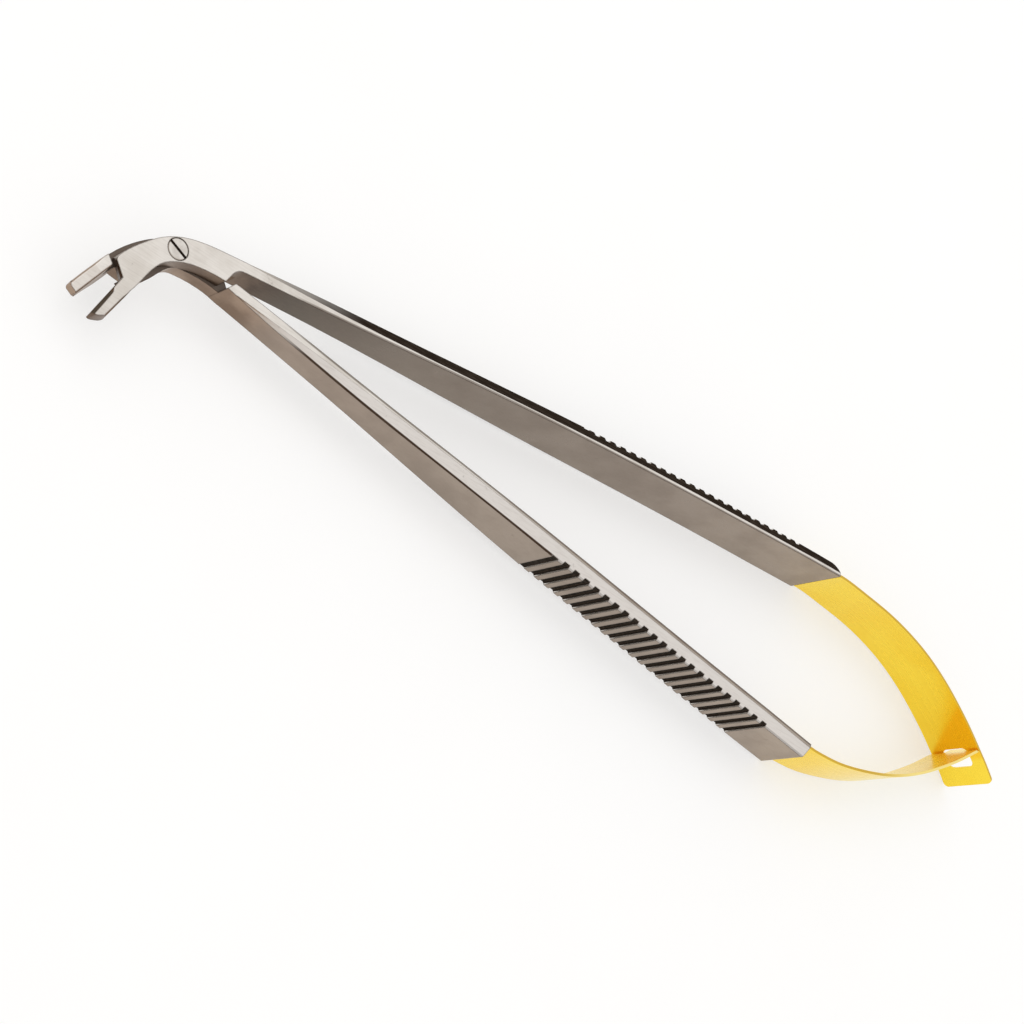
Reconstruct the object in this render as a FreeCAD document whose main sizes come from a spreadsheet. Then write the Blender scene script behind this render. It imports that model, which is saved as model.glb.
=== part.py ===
import FreeCAD, Part
import Sketcher
import math
import os

# Angled, leaf-sprung forceps.  Everything is drawn in the pivot frame: the
# screw axis is Z through X = Y = 0, the motion plane is X-Y, the springs are
# at +X, the jaws point to -X/-Y, the front (screw head) side is +Z.
# The finished pieces are then set down on their side faces by one Placement.

V = FreeCAD.Vector
doc = FreeCAD.newDocument("band_forceps")

# ---------------------------------------------------------------- dimensions
sheet = doc.addObject("Spreadsheet::Sheet", "Dims")
DIMS = [
    ("head_wide", 4.10),        # thickness of the closed half-lap at the screw
    ("lap_gap", 0.04),          # clearance between the two lap faces
    ("jaw_tip_wide", 1.66),     # width of the lower jaw at its tip
    ("jaw_cant", 0.18),         # lean of the jaw blades, sideways per unit of width
    ("arm_wide_mid", 8.66),     # handle width where the grip starts
    ("arm_wide_end", 9.36),     # handle width at the spring end
    ("arm_thick", 2.10),        # handle thickness in the motion plane
    ("bevel_high", 1.56),       # outer bevel, measured in the motion plane
    ("bevel_deep", 0.97),       # outer bevel, measured across the width
    ("end_round", 1.15),        # rounded outer shoulder at the spring end
    ("leaf_thick", 0.42),       # spring leaf thickness
    ("leaf_wide", 8.80),        # spring leaf width
    ("root_gap", 0.05),         # joint line between a handle end and its leaf
    ("leaf_corner", 0.80),      # rounded corners of the upper leaf's end
    ("window_wide", 4.60),      # window in the upper leaf
    ("window_long", 3.35),
    ("tongue_wide", 3.60),      # tongue of the lower leaf
    ("groove_count", 22),       # full grooves on each grip
    ("groove_pitch", 1.93),
    ("groove_wide", 1.08),
    ("groove_deep", 0.47),
    ("screw_head", 2.60),       # diameter
    ("screw_head_high", 0.80),
    ("screw_shank", 1.70),      # diameter
    ("screw_gap", 0.04),        # running clearance in the front lever, radial
    ("slot_wide", 0.36),
    ("slot_deep", 0.38),
    ("edge_break", 0.12),       # softened edges of the head
    ("jaw_break", 0.28),        # rounded outer edges of the jaws
    ("origin_x", -73.31),       # shift to the centre of the resting footprint
    ("origin_y", 0.47),
]
for row, (name, value) in enumerate(DIMS, 1):
    sheet.set("A%d" % row, name)
    sheet.set("B%d" % row, "%g" % value)
    sheet.setAlias("B%d" % row, name)
doc.recompute()
D = dict(DIMS)
HALF = D["head_wide"] / 2.0


# ------------------------------------------------------------------- helpers
def origin_plane(body, role):
    for feat in body.Origin.OriginFeatures:
        if feat.Role == role:
            return feat
    raise RuntimeError("no " + role)


def new_body(label):
    body = doc.addObject("PartDesign::Body", label)
    body.Label = label
    return body


def new_sketch(body, name, role="XY_Plane", offset=None):
    sk = body.newObject("Sketcher::SketchObject", name)
    sk.AttachmentSupport = [(origin_plane(body, role), "")]
    sk.MapMode = "FlatFace"
    if offset is not None:
        sk.AttachmentOffset = offset
    return sk


def close_loop(sk, runs):
    """Each run is ("line", [points]) or ("curve", [points]); the end of one
    run is the start of the next and the last run ends at the first point."""
    ids = []
    for kind, pts in runs:
        if kind == "line":
            for a, b in zip(pts[:-1], pts[1:]):
                ids.append(sk.addGeometry(Part.LineSegment(V(a[0], a[1], 0), V(b[0], b[1], 0)), False))
        else:
            bs = Part.BSplineCurve()
            bs.interpolate([V(p[0], p[1], 0) for p in pts])
            ids.append(sk.addGeometry(bs, False))
    for i, g in enumerate(ids):
        sk.addConstraint(Sketcher.Constraint("Coincident", g, 2, ids[(i + 1) % len(ids)], 1))
    return ids


def polygon(sk, pts):
    return close_loop(sk, [("line", list(pts) + [pts[0]])])


def pad(body, sk, name, length, midplane=True):
    f = body.newObject("PartDesign::Pad", name)
    f.Profile = sk
    f.SideType = "Symmetric" if midplane else "One side"
    if isinstance(length, str):
        f.setExpression("Length", length)
    else:
        f.Length = length
    return f


def volume(body):
    return body.Shape.Volume


def cut(body, sk, name, length, symmetric=True, reverse=False):
    """Pocket; symmetric = both ways from the sketch plane."""
    doc.recompute()
    before = volume(body)
    f = body.newObject("PartDesign::Pocket", name)
    f.Profile = sk
    f.SideType = "Symmetric" if symmetric else "One side"
    if isinstance(length, str):
        f.setExpression("Length", length)
    else:
        f.Length = length
    f.Reversed = reverse
    doc.recompute()
    after = volume(body)
    if not after < before - 1e-4:
        raise RuntimeError("%s cuts nothing (%.4f -> %.4f)" % (name, before, after))
    print("  %-22s %9.3f -> %9.3f mm3 valid=%s" % (name, before, after, body.Shape.isValid()))
    return f


def unit(deg):
    return math.cos(math.radians(deg)), math.sin(math.radians(deg))


# --------------------------------------------------------- handle centre data
# Inner faces of the two handles, y as a function of x (slightly bowed out).
def upper_inner(x):
    return 1.048 + 0.1305 * x - 0.000245 * x * x + lerp(UP_BOW, x)


def lower_inner(x):
    return 1.500 - 0.1455 * x + 0.000100 * x * x + lerp(LOW_BOW, x)


UP_BOW = [(8.6, 0.0), (25, -0.04), (45, -0.12), (75, -0.06), (114, -0.02)]
LOW_BOW = [(8.6, 0.0), (14, 0.12), (22, 0.21), (35, 0.16), (60, 0.11), (95, 0.08), (114, 0.03)]


def lerp(table, x):
    """Smooth value between the table's points that never overshoots them."""
    if x <= table[0][0]:
        return table[0][1]
    if x >= table[-1][0]:
        return table[-1][1]
    xs, ys = [p[0] for p in table], [p[1] for p in table]
    n = len(xs)
    h = [xs[i + 1] - xs[i] for i in range(n - 1)]
    d = [(ys[i + 1] - ys[i]) / h[i] for i in range(n - 1)]
    m = [d[0]] + [0.0] * (n - 2) + [d[-1]]
    for i in range(1, n - 1):
        if d[i - 1] * d[i] > 0:
            a, b = 2 * h[i] + h[i - 1], h[i] + 2 * h[i - 1]
            m[i] = (a + b) / (a / d[i - 1] + b / d[i])
    i = max(j for j in range(n - 1) if x >= xs[j])
    t = (x - xs[i]) / h[i]
    return ((1 + 2 * t) * (1 - t) ** 2 * ys[i] + t * (1 - t) ** 2 * h[i] * m[i]
            + t * t * (3 - 2 * t) * ys[i + 1] + t * t * (t - 1) * h[i] * m[i + 1])


STATIONS = [8.6, 12.0, 16.0, 20.5, 26.0, 32.0, 38.5, 45.0, 52.0, 59.0, 66.0, 74.0, 82.0, 90.0, 98.0, 106.0, 114.0]
WIDE = [(8.6, D["head_wide"]), (13, 4.20), (20, 4.55), (30, 5.40), (40, 6.50), (50, 7.50), (60, 8.18),
        (75, D["arm_wide_mid"]), (90, 8.97), (99, 9.20), (106, D["arm_wide_end"] + 0.05), (114, D["arm_wide_end"] + 0.10)]
THICK = [(8.6, 1.28), (12, 1.45), (20, 1.72), (30, 1.83), (40, 1.87), (50, 1.93), (60, 2.03), (72, D["arm_thick"]),
         (98, D["arm_thick"]), (114, D["arm_thick"] - 0.06)]
BEV_H = [(8.6, 0.05), (12, 0.35), (20, 0.95), (30, 1.32), (40, 1.44), (50, 1.50), (62, D["bevel_high"]), (114, D["bevel_high"])]
BEV_D = [(8.6, 0.04), (12, 0.18), (20, 0.42), (30, 0.70), (40, 0.82), (50, 0.90), (62, D["bevel_deep"]),
         (98, D["bevel_deep"]), (114, D["bevel_deep"] + 0.12)]


def handle(body, tag, inner, side):
    """Bevelled bar from the head to the spring end: a loft through six-sided
    sections that stand across the length.  side is +1 for the upper one."""
    sections = []
    for i, x in enumerate(STATIONS):
        w = lerp(WIDE, x) / 2.0
        slope = (inner(x + 0.5) - inner(x - 0.5))
        k = math.sqrt(1 + slope * slope)
        y0 = inner(x)
        y1 = y0 + side * lerp(THICK, x) * k
        bh, bd = lerp(BEV_H, x) * k, lerp(BEV_D, x)
        sk = new_sketch(body, "%s_section_%02d" % (tag, i), "YZ_Plane",
                        FreeCAD.Placement(V(0, 0, x), FreeCAD.Rotation()))
        polygon(sk, [(y0, -w), (y0, w), (y1 - side * bh, w), (y1, w - bd), (y1, -w + bd), (y1 - side * bh, -w)])
        sections.append(sk)
    loft = body.newObject("PartDesign::AdditiveLoft", tag + "_bar")
    loft.Profile = sections[0]
    loft.Sections = sections[1:]
    loft.Ruled = False
    loft.Closed = False
    return loft


def outer_face(inner, side, x):
    slope = (inner(x + 0.5) - inner(x - 0.5))
    return inner(x) + side * lerp(THICK, x) * math.sqrt(1 + slope * slope), slope


def grooves(body, tag, inner, side, first_x):
    """Full grooves plus one shallow starting groove, straight across."""
    sk = new_sketch(body, tag + "_groove_profile")
    n = int(D["groove_count"])
    for i in range(-1, n):
        deep = D["groove_deep"] if i >= 0 else D["groove_deep"] * 0.42
        half = D["groove_wide"] / 2.0
        x, k = first_x, 0
        slope = outer_face(inner, side, first_x + 20)[1]
        x = first_x + i * D["groove_pitch"] / math.sqrt(1 + slope * slope)
        y, slope = outer_face(inner, side, x)
        t = 1.0 / math.sqrt(1 + slope * slope)
        ux, uy = t, slope * t                   # along the handle
        nx, ny = -uy * side, ux * side          # outwards
        # slightly splayed walls: the floor is narrower than the mouth
        a = (x - ux * (half + 0.10) + nx * 0.6, y - uy * (half + 0.10) + ny * 0.6)
        b = (x + ux * (half + 0.10) + nx * 0.6, y + uy * (half + 0.10) + ny * 0.6)
        c = (x + ux * (half - 0.08) - nx * deep, y + uy * (half - 0.08) - ny * deep)
        d = (x - ux * (half - 0.08) - nx * deep, y - uy * (half - 0.08) - ny * deep)
        polygon(sk, [a, b, c, d])
    return cut(body, sk, tag + "_grooves", "Dims.arm_wide_end + 2")


# --------------------------------------------------------------- head outline
# Jaw directions from the pivot towards the handles, and the distance of both
# gripping lines from the screw axis.
UP_DEG, LOW_DEG = 62.0, 71.5
UP_IN, LOW_IN = 2.42, 2.10      # gripping faces at mid-width


def jaw_point(deg, s, q):
    """s along the jaw away from the screw, q across it (outwards, -X side)."""
    c, n = unit(deg)
    return (-s * c - q * n, -s * n + q * c)


def jp_up(s, q):
    return jaw_point(UP_DEG, s, q)


def jp_low(s, q):
    return jaw_point(LOW_DEG, s, q)


GAP = D["lap_gap"] / 2.0

# Front half: top outline from the left edge to the handle, and the lower one.
front_plate = [
    ("line", [jp_low(8.62, 1.05), jp_low(8.60, 1.60), jp_low(8.12, 2.05), jp_low(8.13, 2.22), (-6.20, -5.30)]),
    ("curve", [(-6.20, -5.30), (-6.22, -4.90), (-6.02, -4.42), (-5.20, -3.12), (-4.31, -1.97), (-2.65, -0.15),
               (-0.78, 1.22), (1.09, 2.05), (2.90, 2.55), (5.90, 3.05), (8.60, 3.4423)]),
    ("line", [(8.60, 3.4423), (9.00, 3.10), (9.30, 2.26)]),
    ("curve", [(9.30, 2.26), (8.70, 2.16), (8.00, 1.96), (7.50, 1.52), (7.28, 1.16)]),
    ("line", [(7.28, 1.16), (6.73, -0.19)]),
    ("curve", [(6.73, -0.19), (4.70, -0.31), (2.83, -0.61), (1.25, -1.08), (-0.12, -1.78), (-0.95, -2.42),
               (-1.81, -3.61), jp_low(6.3, 0.72), jp_low(8.40, 0.84)]),
    ("line", [jp_low(8.40, 0.84), jp_low(8.62, 1.05)]),
]

# Rear half: the jaw side stands a little proud of the front half, the top
# edge stays behind it and the lower edge runs into the lower handle.
rear_plate = [
    ("line", [jp_up(8.05, 3.72), jp_up(8.70, 3.40), jp_up(8.30, 2.60), jp_up(7.05, 2.30), (-3.54, -5.33), (-2.35, -5.50)]),
    ("curve", [(-2.35, -5.50), (-1.85, -4.95), (-1.10, -3.98), (-0.25, -2.62), (0.60, -1.52), (1.25, -1.06),
               (2.40, -0.78), (4.45, -0.60), (6.45, -0.66), (8.60, -1.0371)]),
    ("line", [(8.60, -1.0371), (9.00, -0.80), (9.30, 0.155), (8.05, 0.30), (7.20, 1.30), (6.35, 2.62)]),
    ("curve", [(6.35, 2.62), (4.40, 2.50), (2.60, 2.28), (0.80, 1.86), (-0.55, 1.30), (-1.80, 0.90), (-3.10, -0.02),
               (-4.35, -1.25), jp_up(4.90, 3.62), jp_up(6.30, 3.76), jp_up(8.05, 3.72)]),
]


def jaw(body, tag, deg, tip, q_in, q_out, tip_wide, bevel):
    """Full-width jaw: a loft through sections that stand across its length.
    The blade is canted about its length, so a section is a parallelogram;
    its outer edges are rounded and its front gripping edge is bevelled by
    the amounts in the table.  q_in and q_out are given at mid-width."""
    c, n = unit(deg)
    rot = FreeCAD.Rotation(V(-n, c, 0), V(0, 0, 1), V(c, n, 0), "XYZ")     # x = across, y = width
    base = FreeCAD.Rotation(V(0, 1, 0), V(0, 0, 1), V(1, 0, 0), "XYZ")     # YZ plane
    inv = FreeCAD.Placement(V(0, 0, 0), base).inverse()
    sign = 1.0 if q_out[0][1] > q_in else -1.0
    half_wide = [(7.2, HALF), (8.9, HALF), (9.6, HALF * 0.93), (11.3, (HALF * 0.52 + tip_wide * 0.24)), (tip + 0.25, tip_wide / 2.0)]
    rounding = [(7.2, 0.06), (8.7, 0.10), (9.8, D["jaw_break"]), (tip + 0.25, D["jaw_break"] + 0.04)]
    sections = []
    for i, s in enumerate((7.2, 8.1, 8.9, 9.6, 10.05, 10.7, 11.4, 12.1, 12.8, tip + 0.25)):
        sk = new_sketch(body, "%s_jaw_section_%d" % (tag, i), "YZ_Plane",
                        inv.multiply(FreeCAD.Placement(V(-s * c, -s * n, 0), rot)))
        t, r, q, b = lerp(half_wide, s), lerp(rounding, s), lerp(q_out, s), lerp(bevel, s)
        k = r * (1 - math.sqrt(0.5))
        m = D["jaw_cant"]

        def at(x, y):
            return V(x + m * y, y, 0)

        g, back_g = q_in + sign * b, q_in + sign * 0.06
        corners = [at(back_g, -t), at(q_in, -t + 0.06), at(q_in, t - b), at(g, t), at(q - sign * r, t), at(q, t - r), at(q, -t + r),
                   at(q - sign * r, -t)]
        for e, (p0, p1) in enumerate(zip(corners, corners[1:] + corners[:1])):
            if e == 4:
                sk.addGeometry(Part.Arc(p0, at(q - sign * k, t - k), p1), False)
            elif e == 6:
                sk.addGeometry(Part.Arc(p0, at(q - sign * k, -t + k), p1), False)
            else:
                sk.addGeometry(Part.LineSegment(p0, p1), False)
        sections.append(sk)
    loft = body.newObject("PartDesign::AdditiveLoft", tag + "_jaw")
    loft.Profile = sections[0]
    loft.Sections = sections[1:]
    loft.Ruled = True
    loft.Closed = False
    doc.recompute()


def shoulder_cut(body, tag, pts, below):
    """Clears the half of the jaw root that faces the other lever."""
    sk = new_sketch(body, tag + "_shoulder", offset=FreeCAD.Placement(V(0, 0, GAP if below else -GAP), FreeCAD.Rotation()))
    polygon(sk, pts)
    return cut(body, sk, tag + "_jaw_shoulder", 4.0, symmetric=False, reverse=not below)


def tip_trim(body, tag, fn, tip, q_in, q_tip):
    sign = 1.0 if q_tip > q_in else -1.0
    sk = new_sketch(body, tag + "_tip_outline")
    close_loop(sk, [
        ("line", [fn(tip + 1.0, q_in - sign * 1.0), fn(tip - 0.12, q_in - sign * 1.0), fn(tip - 0.12, q_in),
                  fn(tip, q_in + sign * 0.14), fn(tip, q_tip - sign * 0.40)]),
        ("curve", [fn(tip, q_tip - sign * 0.40), fn(tip - 0.09, q_tip - sign * 0.16), fn(tip - 0.36, q_tip + sign * 0.02)]),
        ("line", [fn(tip - 0.36, q_tip + sign * 0.02), fn(tip - 0.50, q_tip + sign * 1.2), fn(tip + 1.0, q_tip + sign * 1.2),
                  fn(tip + 1.0, q_in - sign * 1.0)]),
    ])
    return cut(body, sk, tag + "_jaw_tip", 8.0)


def edge_pick(body, test):
    names = []
    for i, e in enumerate(body.Shape.Edges, 1):
        if test(e):
            names.append("Edge%d" % i)
    return names


def try_round(body, name, kind, size, test):
    """Round or bevel the picked edges; left sharp where it can't be done."""
    doc.recompute()
    tip = body.Tip
    before = volume(body)
    names = edge_pick(body, test)
    done = []
    if not names:
        print("  %s: no edges" % name)
        return None
    f = body.newObject("PartDesign::" + kind, name)
    f.Base = (tip, names)
    if kind == "Fillet":
        f.setExpression("Radius", size)
    else:
        f.setExpression("Size", size)
    doc.recompute()
    ok = not ("Invalid" in f.State or "Error" in f.State) and not f.Shape.isNull() and f.Shape.isValid() \
        and 0 < before - f.Shape.Volume < before * 0.05 and len(f.Shape.Solids) == 1
    print("  %-22s %2d edges ok=%s base valid=%s" % (name, len(names), ok, tip.Shape.isValid()))
    if not ok:
        body.removeObject(f)
        doc.removeObject(f.Name)
        body.Tip = tip
        doc.recompute()
        return None
    return f


def mid(e):
    return e.valueAt((e.FirstParameter + e.LastParameter) / 2.0)


# --------------------------------------------------------------- front lever
front = new_body("front_lever")
handle(front, "upper", upper_inner, +1)

sk = new_sketch(front, "front_half_outline", offset=FreeCAD.Placement(V(0, 0, GAP), FreeCAD.Rotation()))
sk.setExpression("AttachmentOffset.Base.z", "Dims.lap_gap / 2")
close_loop(sk, front_plate)
pad(front, sk, "front_half", "(Dims.head_wide - Dims.lap_gap) / 2", midplane=False)

# neck: full width from the rear shoulder to the bar
sk = new_sketch(front, "front_neck_outline")
polygon(sk, [(7.45, 3.24), (8.10, 2.30), (8.60, upper_inner(8.6)), (9.00, upper_inner(9.0) + 0.10), (9.00, 3.10), (8.60, 3.4423)])
pad(front, sk, "front_neck", "Dims.head_wide")

LOW_OUT = [(7.2, 0.45), (9.0, 0.48), (11.0, 0.56), (13.4, 0.68)]
LOW_TIP = 13.08
jaw(front, "lower", LOW_DEG, LOW_TIP, LOW_IN, LOW_OUT, D["jaw_tip_wide"],
    [(7.2, 0.05), (9.6, 0.06), (10.05, 0.34), (LOW_TIP + 0.25, 0.42)])
shoulder_cut(front, "lower", [jp_low(8.98, 2.7), jp_low(8.93, 2.0), jp_low(8.60, 0.40), jp_low(8.55, -0.3),
                              jp_low(6.9, -0.3), jp_low(6.9, 2.7)], True)
c, n = unit(LOW_DEG)
rot = FreeCAD.Rotation(V(-c, -n, 0), V(0, 0, 1), V(-n, c, 0), "XYZ")
base = FreeCAD.Rotation(V(1, 0, 0), V(0, 0, 1), V(0, -1, 0), "XYZ")
sk = new_sketch(front, "lower_slope_outline", "XZ_Plane",
                FreeCAD.Placement(V(0, 0, 0), base).inverse().multiply(FreeCAD.Placement(V(0, 0, 0), rot)))
polygon(sk, [(8.2, GAP), (9.40, GAP), (10.85, -HALF), (10.85, -HALF - 0.6), (8.2, -HALF - 0.6)])
cut(front, sk, "lower_jaw_slope", 7.0)
sk = new_sketch(front, "lower_tip_outline")
close_loop(sk, [
    ("line", [jp_low(14.2, 3.2), jp_low(12.96, 3.2), jp_low(12.96, 2.35), jp_low(LOW_TIP, 2.02), jp_low(LOW_TIP - 0.02, 1.72)]),
    ("curve", [jp_low(LOW_TIP - 0.02, 1.72), jp_low(12.90, 1.46), jp_low(12.62, 1.17), jp_low(12.28, 0.84), jp_low(11.98, 0.60),
               jp_low(11.55, 0.36)]),
    ("line", [jp_low(11.55, 0.36), jp_low(11.40, -0.6), jp_low(14.2, -0.6), jp_low(14.2, 3.2)]),
])
cut(front, sk, "lower_jaw_tip", 8.0)
doc.recompute()

# the left edge of the front half is relieved towards the rear
e1, e2 = V(-6.20, -5.30, 0), V(*jp_low(8.12, LOW_IN + D["jaw_cant"] * HALF), 0)
along = (e2 - e1).normalize()
across = V(-along.y, along.x, 0)                   # into the plate
centre = (e1 + e2) * 0.5 - along * 0.35
rot = FreeCAD.Rotation(across, V(0, 0, 1), across.cross(V(0, 0, 1)), "XYZ")
base = FreeCAD.Rotation(V(1, 0, 0), V(0, 0, 1), V(0, -1, 0), "XYZ")
sk = new_sketch(front, "left_edge_relief", "XZ_Plane",
                FreeCAD.Placement(V(0, 0, 0), base).inverse().multiply(FreeCAD.Placement(centre, rot)))
polygon(sk, [(0.0, HALF - 0.30), (0.80, 0.0), (0.80, -0.5), (-1.2, -0.5), (-1.2, HALF - 0.30)])
cut(front, sk, "left_edge_relieved", 3.0)

# --------------------------------------------------------------- rear lever
rear = new_body("rear_lever")
handle(rear, "lower", lower_inner, -1)

sk = new_sketch(rear, "rear_half_outline", offset=FreeCAD.Placement(V(0, 0, -GAP), FreeCAD.Rotation()))
sk.setExpression("AttachmentOffset.Base.z", "-Dims.lap_gap / 2")
close_loop(sk, rear_plate)
f = pad(rear, sk, "rear_half", "(Dims.head_wide - Dims.lap_gap) / 2", midplane=False)
f.Reversed = True

sk = new_sketch(rear, "rear_neck_outline")
polygon(sk, [(7.22, -0.78), (8.02, 0.28), (8.60, lower_inner(8.6)), (9.00, lower_inner(9.0) - 0.10), (9.00, -0.80),
             (8.60, -1.0371)])
pad(rear, sk, "rear_neck", "Dims.head_wide")

UP_OUT = [(7.2, 3.62), (8.6, 3.68), (10.5, 3.76), (12.0, 3.80), (13.7, 3.80)]
UP_TIP = 13.38
jaw(rear, "upper", UP_DEG, UP_TIP, UP_IN, UP_OUT, D["jaw_tip_wide"] - 0.66,
    [(7.2, 0.06), (9.6, 0.10), (UP_TIP + 0.25, 0.14)])
shoulder_cut(rear, "upper", [jp_up(9.00, UP_IN - 0.3), jp_up(8.84, UP_IN + 0.28), jp_up(8.54, UP_IN + 0.40),
                             jp_up(8.37, UP_IN + 0.60), jp_up(8.10, 3.95), jp_up(8.00, 4.5),
                             jp_up(6.9, 4.5), jp_up(6.9, UP_IN - 0.4)], False)
tip_trim(rear, "upper", jp_up, UP_TIP, UP_IN, lerp(UP_OUT, 13.1))
doc.recompute()

# spring ends of the handles cut square to their direction
ROOT_UP = (113.45, 12.98)
ROOT_LOW = (113.44, -13.98)
back = D["leaf_thick"] / 2.0 + D["root_gap"]
for body, tag, inner, side, root in ((front, "upper", upper_inner, 1, ROOT_UP), (rear, "lower", lower_inner, -1, ROOT_LOW)):
    slope = outer_face(inner, side, 112.5)[1]
    t = 1.0 / math.sqrt(1 + slope * slope)
    ux, uy = t, slope * t
    px, py = root[0] - ux * back, root[1] - uy * back
    nx, ny = -uy, ux
    sk = new_sketch(body, tag + "_end_trim")
    polygon(sk, [(px - nx * 6, py - ny * 6), (px + nx * 6, py + ny * 6), (px + nx * 6 + ux * 4, py + ny * 6 + uy * 4),
                 (px - nx * 6 + ux * 4, py - ny * 6 + uy * 4)])
    cut(body, sk, tag + "_end", "Dims.arm_wide_end + 2")

# both side faces are ground flat towards the spring end: the forceps lies on
# them
for body, tag, inner, side in ((front, "upper", upper_inner, 1), (rear, "lower", lower_inner, -1)):
    for z, back_side in ((D["arm_wide_end"] / 2.0, False), (-D["arm_wide_end"] / 2.0, True)):
        sk = new_sketch(body, "%s_flat_%s" % (tag, "rear" if back_side else "front"),
                        offset=FreeCAD.Placement(V(0, 0, z), FreeCAD.Rotation()))
        sk.setExpression("AttachmentOffset.Base.z", ("-" if back_side else "") + "Dims.arm_wide_end / 2")
        y = side * 12.0
        polygon(sk, [(85, y - 7), (118, y - 7), (118, y + 7), (85, y + 7)])
        cut(body, sk, "%s_ground_%s" % (tag, "rear" if back_side else "front"), 1.0, symmetric=False, reverse=not back_side)

# the outer shoulder at the spring end is rounded over
for body, tag, inner, side, root in ((front, "upper", upper_inner, 1, ROOT_UP), (rear, "lower", lower_inner, -1, ROOT_LOW)):
    slope = outer_face(inner, side, 112.5)[1]
    t = 1.0 / math.sqrt(1 + slope * slope)
    u = V(t, slope * t, 0)
    nrm = V(-u.y * side, u.x * side, 0)
    e = V(root[0], root[1], 0) - u * back
    yo, so = outer_face(inner, side, 113.0)
    dist = (V(113.0, yo, 0) - e).dot(nrm)
    k = e + nrm * dist
    r = D["end_round"] if side > 0 else D["end_round"] * 0.3
    sk = new_sketch(body, tag + "_end_corner")
    a, b = k - u * r, k - nrm * r
    m = k - (u + nrm) * (r * (1 - math.sqrt(0.5)))
    sk.addGeometry(Part.Arc(a, m, b), False)
    for g0, g1 in ((b, b + u), (b + u, k + u + nrm), (k + u + nrm, a + nrm), (a + nrm, a)):
        sk.addGeometry(Part.LineSegment(g0, g1), False)
    cut(body, sk, tag + "_end_round", "Dims.arm_wide_end + 2")

grooves(front, "upper", upper_inner, +1, 63.6)
grooves(rear, "lower", lower_inner, -1, 63.6)

# --------------------------------------------------------- screw and its seat
r_head, r_shank = D["screw_head"] / 2.0, D["screw_shank"] / 2.0


def round_hole(body, name, z, radius, length, reverse):
    sk = new_sketch(body, name + "_circle", offset=FreeCAD.Placement(V(0, 0, z), FreeCAD.Rotation()))
    sk.addGeometry(Part.Circle(V(0, 0, 0), V(0, 0, 1), 1.0), False)
    sk.addConstraint(Sketcher.Constraint("Coincident", 0, 3, -1, 1))
    c = sk.addConstraint(Sketcher.Constraint("Radius", 0, 1.0))
    sk.setExpression("Constraints[%d]" % c, radius)
    return cut(body, sk, name, length, symmetric=False, reverse=reverse)


round_hole(front, "screw_seat", HALF, "Dims.screw_head / 2 + Dims.screw_gap", "Dims.screw_head_high + Dims.screw_gap", False)
round_hole(front, "screw_clearance", HALF, "Dims.screw_shank / 2 + Dims.screw_gap", "Dims.head_wide", False)
round_hole(rear, "screw_thread", -HALF, "Dims.screw_shank / 2 + 0.01", "Dims.head_wide", True)

screw = new_body("pivot_screw")
sk = new_sketch(screw, "screw_section", "XZ_Plane")
top, bottom = HALF, -HALF
hh, br = D["screw_head_high"], 0.10
polygon(sk, [(0, bottom), (r_shank - br, bottom), (r_shank, bottom + br), (r_shank, top - hh), (r_head, top - hh),
             (r_head, top - br * 0.7), (r_head - br * 0.7, top), (0, top)])
rev = screw.newObject("PartDesign::Revolution", "screw_turned")
rev.Profile = sk
rev.ReferenceAxis = (sk, ["V_Axis"])
rev.Angle = 360
doc.recompute()
sk = new_sketch(screw, "slot_outline", offset=FreeCAD.Placement(V(0, 0, HALF), FreeCAD.Rotation(V(0, 0, 1), -22.0)))
sk.setExpression("AttachmentOffset.Base.z", "Dims.head_wide / 2")
w = D["slot_wide"] / 2.0
polygon(sk, [(-2, -w), (2, -w), (2, w), (-2, w)])
cut(screw, sk, "screw_slot", "Dims.slot_deep", symmetric=False)

# ------------------------------------------------------------- spring leaves
LT, LW = D["leaf_thick"], D["leaf_wide"]
CROSS = (151.63, 0.95)
UP_LINE = [ROOT_UP, (119.8, 12.80), (125.0, 12.42), (130.0, 11.65), (134.5, 10.52), (138.5, 9.05), (142.3, 7.20),
           (146.0, 5.00), (149.4, 2.68), CROSS, (153.8, -0.76), (156.0, -2.76)]
LOW_LINE = [ROOT_LOW, (116.5, -14.03), (119.5, -13.86), (122.5, -13.42), (125.5, -12.78), (128.7, -11.96),
            (132.0, -10.92), (135.5, -9.50), (139.3, -7.55), (143.3, -5.12), (147.4, -2.33)]


def ribbon(points, start_dir=None, end_dir=None):
    bs = Part.BSplineCurve()
    pts = [V(p[0], p[1], 0) for p in points]
    if start_dir and end_dir:
        bs.interpolate(Points=pts, InitialTangent=V(start_dir[0], start_dir[1], 0), FinalTangent=V(end_dir[0], end_dir[1], 0))
    else:
        bs.interpolate(pts)
    return bs


def offsets(bs, d, n=26):
    out = []
    for i in range(n + 1):
        u = bs.FirstParameter + (bs.LastParameter - bs.FirstParameter) * i / n
        p = bs.value(u)
        t = bs.tangent(u)[0]
        out.append((p.x - t.y * d, p.y + t.x * d))
    return out, bs.tangent(bs.FirstParameter)[0], bs.tangent(bs.LastParameter)[0]


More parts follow.
